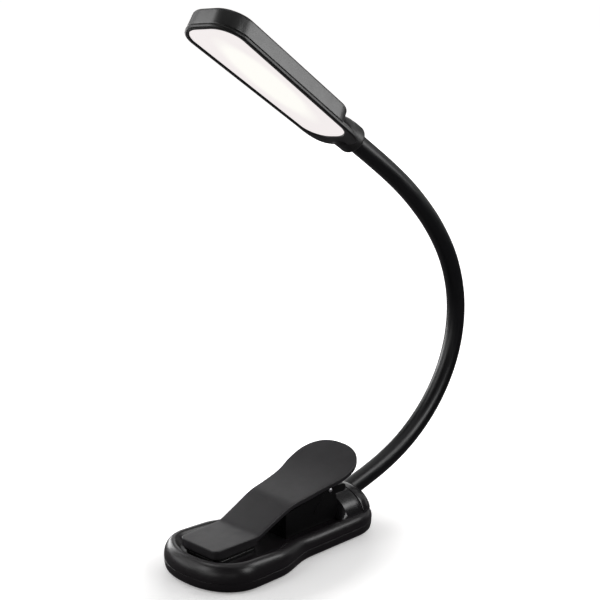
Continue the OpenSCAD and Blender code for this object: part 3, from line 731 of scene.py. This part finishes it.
def lever_half():
    """The lever's half outline: a square pad with round corners that widens to a round tongue."""
    spots = [(LEVER_X0 + PAD_CORNER, PAD_W), *LEVER_WIDTHS, (TONGUE_X, TONGUE_W)]
    xs, ws = zip(*spots)
    slopes = np.gradient(np.array(ws), np.array(xs))
    slopes[-1] = 0.0

    def width(x):
        """A smooth curve through the measured half widths."""
        i = int(np.clip(np.searchsorted(xs, x) - 1, 0, len(xs) - 2))
        h = xs[i + 1] - xs[i]
        t = (x - xs[i]) / h
        return (
            (2 * t**3 - 3 * t**2 + 1) * ws[i] + (t**3 - 2 * t**2 + t) * h * slopes[i]
            + (3 * t**2 - 2 * t**3) * ws[i + 1] + (t**3 - t**2) * h * slopes[i + 1]
        )

    half = []
    for a in range(0, 91, 10):
        angle = math.radians(a)
        back, side = PAD_CORNER * (1 - math.cos(angle)), PAD_CORNER * (1 - math.sin(angle))
        half.append((LEVER_X0 + back, PAD_W - side))
    stations = list(np.arange(-30.5, -17.5, 2.0)) + [-17.2, -16.8, -16.5, -16.28, -16.18, -16.08, -15.98]
    stations += [-15.8, -15.5, -15.1, -14.6, -14.1] + list(np.arange(-13.0, -4.0, 1.5))
    stations += list(np.arange(-3.4, 2.8, 0.6)) + list(np.arange(3.6, 24.6, 1.4))
    half += [(float(x), float(width(x))) for x in stations]
    for a in range(90, -1, -4):
        x, y = superellipse(TIP_X - TONGUE_X, TONGUE_W, 2.3, max(0, a - 2 if a < 4 else a))
        half.append((TONGUE_X + x, y))
    half[-1] = (TIP_X, 0.0)
    return half


lever_rings = fillet(0.34, lever_top, 4) + [(0.0, offset(lever_top, -0.9))]
lever_rings += [(0.0, offset(lever_low, 0.32))]
lever_rings += [(r, h) for r, h in reversed(fillet(0.22, lever_low, 3, downwards=False))]
plate = slab(lever_half(), lever_rings, across=16)
# the two cheeks that hang from the handle round the pin
under_pin = [math.radians(a) for a in range(180, 361, 15)]
cheek = [(PIN[0] + CHEEK_R * math.cos(a), PIN[1] + CHEEK_R * math.sin(a)) for a in under_pin]
cheek += [(x, lever_top(x) - 0.8) for x in (PIN[0] + 4.2, PIN[0] - 5.5)]
cheeks = [prism_xz(cheek, y0, y1, 0.2) for y0, y1 in ((CHEEK_IN, CHEEK_OUT), (-CHEEK_OUT, -CHEEK_IN))]
lever = finished("clamp_lever_moulding", *merged(plate, *cheeks), LEVER, "lever", sharp=40.0)
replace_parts(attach(lever, "lever"), "clamp_lever")

upper_pad_half = rounded_slab_half(LEVER_X0 + 0.5, CREASE1_X - 0.8, PAD_W - 0.5, PAD_CORNER)
upper_rings = [(0.0, BLOCK_Z), (0.0, 8.75), (0.05, 8.55), (0.16, 8.4), (0.35, RUBBER_Z)]
upper_pad = finished("upper_jaw_rubber", *slab(upper_pad_half, upper_rings), JAW, "jaw_rubber")
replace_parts(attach(upper_pad, "lever"), "upper_jaw_pad")

lower_pad_half = rounded_slab_half(-33.6, -14.4, 9.0, 3.5)
lower_rings = [(0.4, 8.27), (0.18, 8.2), (0.05, 8.05), (0.0, 7.85), (0.0, 7.02)]
lower_pad = finished("lower_jaw_rubber", *slab(lower_pad_half, lower_rings), JAW, "jaw_rubber")
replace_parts(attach(lower_pad, "base"), "lower_jaw_pad")

# ---------------------------------------------------------------- hinge
bracket = refined("hinge_bracket", "hinge_bracket_moulding", BRACKET, 0.22, 3)
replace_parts(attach(bracket, "base"), "hinge_bracket")

PIN_HALF = 9.65
pin_profile = [(0.08, 0.0), (0.4, 0.05), (0.66, 0.18), (0.85, 0.38), (0.95, 0.62), (0.985, 0.9)]
pin_profile += [(0.985, 2 * PIN_HALF - 0.45)]
pin_profile += [(0.94, 2 * PIN_HALF - 0.22), (0.75, 2 * PIN_HALF - 0.06), (0.3, 2 * PIN_HALF)]
pin = finished(
    "hinge_pin_turned",
    *moved(lathe(pin_profile, 32), along_axis((PIN[0], -PIN_HALF, PIN[1]), (0, 1, 0))),
    STEEL,
    "steel",
)
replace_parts(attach(pin, "base"), "hinge_pin")

WIRE_R, COIL_R, COIL_TURNS, COIL_HALF = 0.4, 1.65, 7, 4.6
LEG_X, LEG_Y = 28.0, 3.2


def coil_point(t):
    """A point of the spring's coil round the pin, from one end at 0 to the other at 1."""
    a = math.radians(30 + 360 * COIL_TURNS * t)
    return (PIN[0] + COIL_R * math.cos(a), lerp(-COIL_HALF, COIL_HALF, t), PIN[1] + COIL_R * math.sin(a))


leg_z = VAULT_TOP + WIRE_R + 0.05
coil_start = coil_point(0)
corner = (coil_start[0] + (coil_start[2] - leg_z) * math.tan(math.radians(30)), -COIL_HALF, leg_z)
spring_path = quadratic((LEG_X, -LEG_Y, leg_z), corner, coil_start, 16)
spring_path += [coil_point(i / (26 * COIL_TURNS)) for i in range(1, 26 * COIL_TURNS + 1)]
spring = finished("torsion_spring_wire", *tube(spring_path, WIRE_R, 12), SPRING, "spring_steel", sharp=60.0)
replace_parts(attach(spring, "base"), "torsion_spring")
leg_xs = np.linspace(PIN[0] + 2.6, LEG_X, 12)
upper_leg_path = [(x, COIL_HALF - 0.3, lever_top(x) - LEVER_T - WIRE_R - 0.05) for x in leg_xs]
leg_wire = tube(upper_leg_path, WIRE_R, 12)
upper_leg = finished("spring_upper_wire", *leg_wire, SPRING, "spring_steel", sharp=60.0)
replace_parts(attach(upper_leg, "lever"), "spring_upper_leg")

# ---------------------------------------------------------------- neck
# the neck's bending axes in the XZ plane, and where its end meets the light bar
PIVOTS = [
    (36.3, 10.0), (58.84, 15.91), (74.69, 23.89), (87.95, 35.70), (96.77, 51.10), (99.33, 68.66),
    (95.13, 85.91), (85.93, 101.09), (74.01, 114.24), (60.57, 125.84), (34.29, 144.44),
]
NECK_END = Vector(PIVOTS[-1])
# where the sleeve's pieces meet, as places along the neck for neck_at
SEAMS = [0.0, 1.25, 2.0, 3.0, 3.75, 4.25, 5.0, 6.0, 6.75, 7.25, 8.0, 9.0, 11.0]
SLEEVE_START, SLEEVE_TAIL, RING_STEP = 1.0, 2.5, 0.8


def neck_at(g):
    """The point and direction of the neck's middle line at g: whole numbers are the middles of the links."""
    points = [Vector(p) for p in PIVOTS]
    mids = [(a + b) / 2 for a, b in zip(points, points[1:])]
    last = len(points) - 1
    if g <= 1:
        a = points[0] + (mids[0] - points[0]).normalized() * SLEEVE_START
        return a.lerp(mids[0], g), (mids[0] - a).normalized()
    if g >= last:
        b = points[last] - (points[last] - mids[-1]).normalized() * SLEEVE_TAIL
        return mids[-1].lerp(b, g - last), (b - mids[-1]).normalized()
    i = min(int(g), last - 1)
    t = g - i
    a, b, c = mids[i - 1], points[i], mids[i]
    return (1 - t) ** 2 * a + 2 * t * (1 - t) * b + t * t * c, ((1 - t) * (b - a) + t * (c - b)).normalized()


def neck_piece(g0, g1, sides=44):
    """The sleeve between g0 and g1, with a ring about every RING_STEP mm."""
    spots = [neck_at(lerp(g0, g1, i / 20))[0] for i in range(21)]
    run = sum((b - a).length for a, b in zip(spots, spots[1:]))
    count = max(8, round(run / RING_STEP))
    turns = [2 * math.pi * k / sides for k in range(sides)]
    rings = []
    for i in range(count + 1):
        p, d = neck_at(lerp(g0, g1, i / count))
        ring = []
        for a in turns:
            out = NECK_R * math.cos(a)
            ring.append((p.x - out * d.y, NECK_R * math.sin(a), p.y + out * d.x))
        rings.append(ring)
    return loft(rings)


for k in range(1, 13):
    g0, g1 = SEAMS[k - 1], SEAMS[k]
    piece = finished(f"neck_sleeve_skin_{k}", *neck_piece(g0, g1), NECK, "neck_rubber", sharp=50.0)
    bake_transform(piece)
    covers = ["neck_sleeve_0", "neck_sleeve_1"] if k == 1 else [f"neck_sleeve_{k}"]
    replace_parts(piece, *covers)

# ---------------------------------------------------------------- head
# in the bar's own frame: +X from its tip to the neck, Z 0 on the frame's face and HEAD_T on the cover's top
HEAD_L, TIP_HALF, NECK_HALF, HEAD_T, FRAME_T, RIM = 75.4, 12.4, 10.0, 7.4, 2.1, 1.5
HEAD_ANGLE, HEAD_ROLL, TIP_R = math.radians(180 - 144.7), math.radians(-7.5), 0.74 * TIP_HALF
AXIS_H, COLLAR_R, COLLAR_L, ROUND_END = 4.4, 5.2, 7.7, 1.4
TIP_END, NECK_END_X = -HEAD_L / 2, HEAD_L / 2
SHOULDER_X, SHOULDER_L, SHOULDER_N = NECK_END_X - 12, 14.6, 3.4
COVER_INSET, COVER_END, OPENING_END = 0.15, NECK_END_X - 5.6, NECK_END_X - 2.9
COVER_NECK_R, OPENING_NECK_R, FLARE_L, FLARE_W = 9.2, RIM + 7.8, 13.0, 4.2
FACE_IN = 0.35

HEAD = (
    Matrix.Translation(Vector((NECK_END.x, 0, NECK_END.y)) * MM)
    @ Matrix.Rotation(HEAD_ANGLE, 4, "Y")
    @ Matrix.Rotation(HEAD_ROLL, 4, "X")
    @ Matrix.Translation(Vector((-HEAD_L / 2, 0, -AXIS_H)) * MM)
)


def half_width(x):
    """The tapering bar's half width at x."""
    return lerp(TIP_HALF, NECK_HALF, (x - TIP_END) / HEAD_L)


def bar_half(x0, x1, inset, neck_r, end_n=2.0, arc=20, straight=12):
    """A tapering bar's half outline: a round corner at the tip and one at the neck, which is a superellipse
    over the whole half width when end_n is given."""
    corner, end = TIP_R - inset, neck_r - inset
    wide = half_width(x0 + corner) - inset
    narrow = half_width(x1 - end) - inset
    half = [(x0, (wide - corner) * i / 3) for i in range(3)]
    for i in range(arc + 1):
        x, y = superellipse(corner, corner, 2.0, 90 * i / arc)
        half.append((x0 + corner - x, wide - corner + y))
    for i in range(1, straight):
        half.append((lerp(x0 + corner, x1 - end, i / straight), lerp(wide, narrow, i / straight)))
    flat = 0.0 if end_n > 2 else narrow - end
    steps = arc if flat else arc + 3
    for i in range(steps, -1, -1):
        x, y = superellipse(end, narrow - flat, end_n, 90 * i / steps)
        half.append((x1 - end + x, flat + y))
    return half + [(x1, flat * i / 3) for i in (2, 1, 0) if flat]


def cover_half(inset):
    return bar_half(TIP_END + COVER_INSET + inset, COVER_END - inset, COVER_INSET + inset, COVER_NECK_R)


def opening_half(inset):
    return bar_half(TIP_END + RIM + inset, OPENING_END - inset, RIM + inset, OPENING_NECK_R)


frame_half = bar_half(TIP_END, SHOULDER_X + SHOULDER_L, 0.0, SHOULDER_L, SHOULDER_N)
frame_normals = half_normals(frame_half)
hole_half = opening_half(0)
hole_normals = half_normals(hole_half)


def frame_loop(half, z):
    """The whole outline at height z."""
    return [(x, -w, z) for x, w in half] + [(x, w, z) for x, w in reversed(half[1:-1])]


def frame_ring():
    """The flat frame round the diffuser, with rounded edges."""
    outer = [(1.0, 2.1), (1.0, 1.3), (0.3, 1.27), (0.1, 1.2), (0.0, 1.05)]
    outer += [(0.0, 0.5), (0.05, 0.3), (0.16, 0.12), (0.34, 0.02), (0.5, 0.0)]
    inner = [(0.16, 0.0), (0.06, 0.03), (0.0, 0.12), (0.0, 1.95), (0.15, 2.1)]
    loops = [frame_loop(inset_half(frame_half, d, frame_normals), z) for d, z in outer]
    loops += [frame_loop(inset_half(hole_half, -d, hole_normals), z) for d, z in inner]
    return loft(loops, closed=True)


def collar_section(x, w, z0, z1, e, sides=56):
    """A rounded section w to each side of the middle and from z0 to z1: a circle where e is 1."""
    points = []
    for k in range(sides):
        a = 2 * math.pi * k / sides
        c, s = math.cos(a), math.sin(a)
        y = w * math.copysign(abs(c) ** e, c)
        points.append((x, y, (z0 + z1) / 2 + (z1 - z0) / 2 * math.copysign(abs(s) ** e, s)))
    return points


def collar():
    """The flare from the bar's end to a round boss with a rounded rim and the neck's hole."""
    rings = []
    for i in range(25):
        t = i / 24
        k, flare = ease(t), (1 - t) ** 2
        x = lerp(NECK_END_X - FLARE_L, NECK_END_X + 4.2, t)
        rings.append(
            collar_section(
                x,
                COLLAR_R + FLARE_W * flare,
                lerp(FRAME_T, AXIS_H - COLLAR_R, ease((x - OPENING_END - 0.2) / 4)),
                lerp(HEAD_T - 1.4, AXIS_H + COLLAR_R, k),
                lerp(0.7, 1, k),
            )
        )
    end = NECK_END_X + COLLAR_L
    for x, r in [(end - ROUND_END - 0.8, COLLAR_R)] + [
        (end - ROUND_END * (1 - math.sin(a)), COLLAR_R - ROUND_END * (1 - math.cos(a)))
        for a in (math.radians(15 * i) for i in range(7))
    ] + [(end, NECK_R + 0.22), (end - 0.15, NECK_R + 0.1), (end - 2.5, NECK_R + 0.1)]:
        rings.append(collar_section(x, r, AXIS_H - r, AXIS_H + r, 1))
    return loft(rings)


frame_and_collar = merged(frame_ring(), collar())
head_frame = finished("head_frame_moulding", *frame_and_collar, FRAME, "frame", sharp=42.0, matrix=HEAD)
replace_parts(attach(head_frame, "head"), "head_frame")

cover_rings = fillet(1.0, HEAD_T, 7, inset=0.3)
cover_rings += [(0.2, 4.6), (0.0, 1.8), (0.0, 1.6), (0.08, 1.45), (0.24, 1.36), (0.5, 1.34)]
cover_skin = slab(cover_half(0), cover_rings, across=12)
cover = finished("head_cover_moulding", *cover_skin, COVER, "cover", matrix=HEAD)
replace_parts(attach(cover, "head"), "head_back_cover")

diffuser_rings = [(0.06, FACE_IN + 1.2), (0.05, FACE_IN + 0.25), (0.1, FACE_IN + 0.1), (0.3, FACE_IN)]
diffuser_skin = slab(opening_half(0), diffuser_rings, across=12)
diffuser = finished("diffuser_window", *diffuser_skin, DIFFUSER, "diffuser")
diffuser.matrix_world = HEAD
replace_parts(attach(diffuser, "head"), "diffuser")


# ---------------------------------------------------------------- floor, light and view
# the painted shadow, a dimmer oval of glow round the base: its stretch per metre and its shift, then the glow
# at its middle and outside
PAINTED_SHADOW_SCALE, PAINTED_SHADOW_SHIFT = (16.0, 26.0, 0.0), (0.15, 0.25, 0.0)
PAINTED_SHADOW_GLOW, CLEAR_GLOW, PAINTED_SHADOW_FROM, PAINTED_SHADOW_TO = 0.24, 1.02, 0.65, 1.5


def floor_material():
    """Pale paper, bright to the eye, with a painted shadow: its glow is dimmer in an oval round the base, and
    its paper also darkens where the lamp shades it.
    """
    material = bpy.data.materials.new("paper_floor")
    material.use_nodes = True
    tree = material.node_tree
    tree.nodes.clear()
    out = node_of(tree, "ShaderNodeOutputMaterial")
    seen = node_of(tree, "ShaderNodeLightPath").outputs["Is Camera Ray"]
    where = node_of(tree, "ShaderNodeTexCoord").outputs["Object"]
    squeeze = node_of(tree, "ShaderNodeMapping", {"Scale": PAINTED_SHADOW_SCALE, "Location": PAINTED_SHADOW_SHIFT})
    tree.links.new(where, squeeze.inputs["Vector"])
    far = node_of(tree, "ShaderNodeVectorMath", operation="LENGTH")
    tree.links.new(squeeze.outputs[0], far.inputs[0])
    glow = node_of(tree, "ShaderNodeEmission", {"Color": (1.0, 0.985, 0.98, 1.0)})
    # painted shadow: the glow rises from dim inside the oval round the base to full outside it
    fade = mapped(tree, far.outputs["Value"], PAINTED_SHADOW_GLOW, CLEAR_GLOW, PAINTED_SHADOW_FROM, PAINTED_SHADOW_TO)
    tree.links.new(fade, glow.inputs["Strength"])
    paper = node_of(tree, "ShaderNodeBsdfDiffuse", {"Color": (0.8, 0.8, 0.8, 1.0)})
    both = node_of(tree, "ShaderNodeAddShader")
    tree.links.new(glow.outputs[0], both.inputs[0])
    tree.links.new(paper.outputs[0], both.inputs[1])
    dim = node_of(tree, "ShaderNodeBsdfDiffuse", {"Color": (0.14, 0.135, 0.14, 1.0)})
    pick = node_of(tree, "ShaderNodeMixShader")
    tree.links.new(seen, pick.inputs[0])
    tree.links.new(dim.outputs[0], pick.inputs[1])
    tree.links.new(both.outputs[0], pick.inputs[2])
    tree.links.new(pick.outputs[0], out.inputs[0])
    return material


FLOOR_HALF = 9.0  # m
floor_corners = [(x * FLOOR_HALF, y * FLOOR_HALF, 0) for x, y in ((-1, -1), (1, -1), (1, 1), (-1, 1))]
floor_mesh = bpy.data.meshes.new("floor")
floor_mesh.from_pydata(floor_corners, [], [(0, 1, 2, 3)])
floor_mesh.materials.append(floor_material())
floor = bpy.data.objects.new("floor", floor_mesh)
floor.location.z = -0.0001
bpy.context.scene.collection.objects.link(floor)


VIEW_TURN = 90.0 + CAMERA_TURN[2]  # the way the camera looks, in degrees from +X


def soft_light(name, around, rise, radiance, size, distance=0.8, aim=(0.03, 0.0, 0.06)):
    """A rectangular soft light at this distance from aim, in metres: around is in degrees from the way the
    camera looks, to its right, and rise is its height above the horizon in degrees."""
    data = bpy.data.lights.new(name, "AREA")
    data.shape = "RECTANGLE"
    data.size, data.size_y = size
    data.energy = radiance * math.pi * size[0] * size[1]
    light = bpy.data.objects.new(name, data)
    turn, tilt = math.radians(VIEW_TURN - around), math.radians(rise)
    direction = Vector((math.cos(turn) * math.cos(tilt), math.sin(turn) * math.cos(tilt), math.sin(tilt)))
    light.location = Vector(aim) + direction * distance
    light.rotation_euler = direction.to_track_quat("Z", "Y").to_euler()
    bpy.context.scene.collection.objects.link(light)
    light.visible_camera = False
    return light


LOW, WIDE, SOFTBOX = (0.5, 0.22), (0.4, 0.35), (0.26, 0.34)
soft_light("low_back", 0, 6, 1.5, LOW)
soft_light("low_right_back", 45, 6, 0.5, LOW)
soft_light("low_left_back", -45, 6, 3.0, LOW)
soft_light("low_left", -90, 6, 2.0, LOW)
soft_light("low_left_front", -135, 6, 1.5, LOW)
soft_light("low_front", 180, 6, 0.5, LOW)
soft_light("back", 0, 30, 1.0, WIDE)
soft_light("right_back", 45, 30, 0.5, WIDE)
soft_light("bead_right", 128, 25, 5.0, SOFTBOX)
soft_light("bead_left", -120, 25, 3.6, SOFTBOX)
soft_light("beside_the_neck", -62, -6, 5.0, (0.12, 0.11), 0.25, (0.09, 0.0, 0.1))
soft_light("front", 180, 30, 0.12, WIDE)
soft_light("left", -90, 30, 1.3, WIDE)
soft_light("left_back", -45, 30, 1.1, WIDE)
soft_light("high_back", 0, 58, 0.7, WIDE)
soft_light("high_right_back", 45, 58, 0.3, WIDE)
soft_light("high_right_front", 135, 58, 0.3, WIDE)
soft_light("overhead", 0, 90, 0.7, (0.6, 0.6), 0.9)
soft_light("beside_the_bar", 90, 2, 4.2, (0.12, 0.12), 0.16, (0.01, 0.0, 0.165))
soft_light("beside_the_tip", -82, 34, 3.4, (0.1, 0.08), 0.13, (-0.03, 0.0, 0.185))

world = bpy.data.worlds.new("studio")
bpy.context.scene.world = world
world.use_nodes = True
tree = world.node_tree
tree.nodes.clear()
out = node_of(tree, "ShaderNodeOutputWorld")
generated = node_of(tree, "ShaderNodeTexCoord").outputs["Generated"]
parts = node_of(tree, "ShaderNodeSeparateXYZ")
tree.links.new(generated, parts.inputs[0])
sky = node_of(tree, "ShaderNodeValToRGB")
sky.color_ramp.elements[0].position = 0.28
sky.color_ramp.elements[0].color = (0.012, 0.012, 0.012, 1.0)
sky.color_ramp.elements[1].position = 0.75
sky.color_ramp.elements[1].color = (0.01, 0.01, 0.01, 1.0)
tree.links.new(parts.outputs["Z"], sky.inputs["Fac"])
dim_sky = node_of(tree, "ShaderNodeBackground", {"Strength": 1.0})
tree.links.new(sky.outputs["Color"], dim_sky.inputs["Color"])
white_sky = node_of(tree, "ShaderNodeBackground", {"Color": (1.0, 1.0, 1.0, 1.0), "Strength": 1.02})
pick = node_of(tree, "ShaderNodeMixShader")
tree.links.new(node_of(tree, "ShaderNodeLightPath").outputs["Is Camera Ray"], pick.inputs[0])
tree.links.new(dim_sky.outputs[0], pick.inputs[1])
tree.links.new(white_sky.outputs[0], pick.inputs[2])
tree.links.new(pick.outputs[0], out.inputs[0])

bpy.context.scene.view_settings.view_transform = "Standard"
bpy.context.scene.view_settings.look = "None"
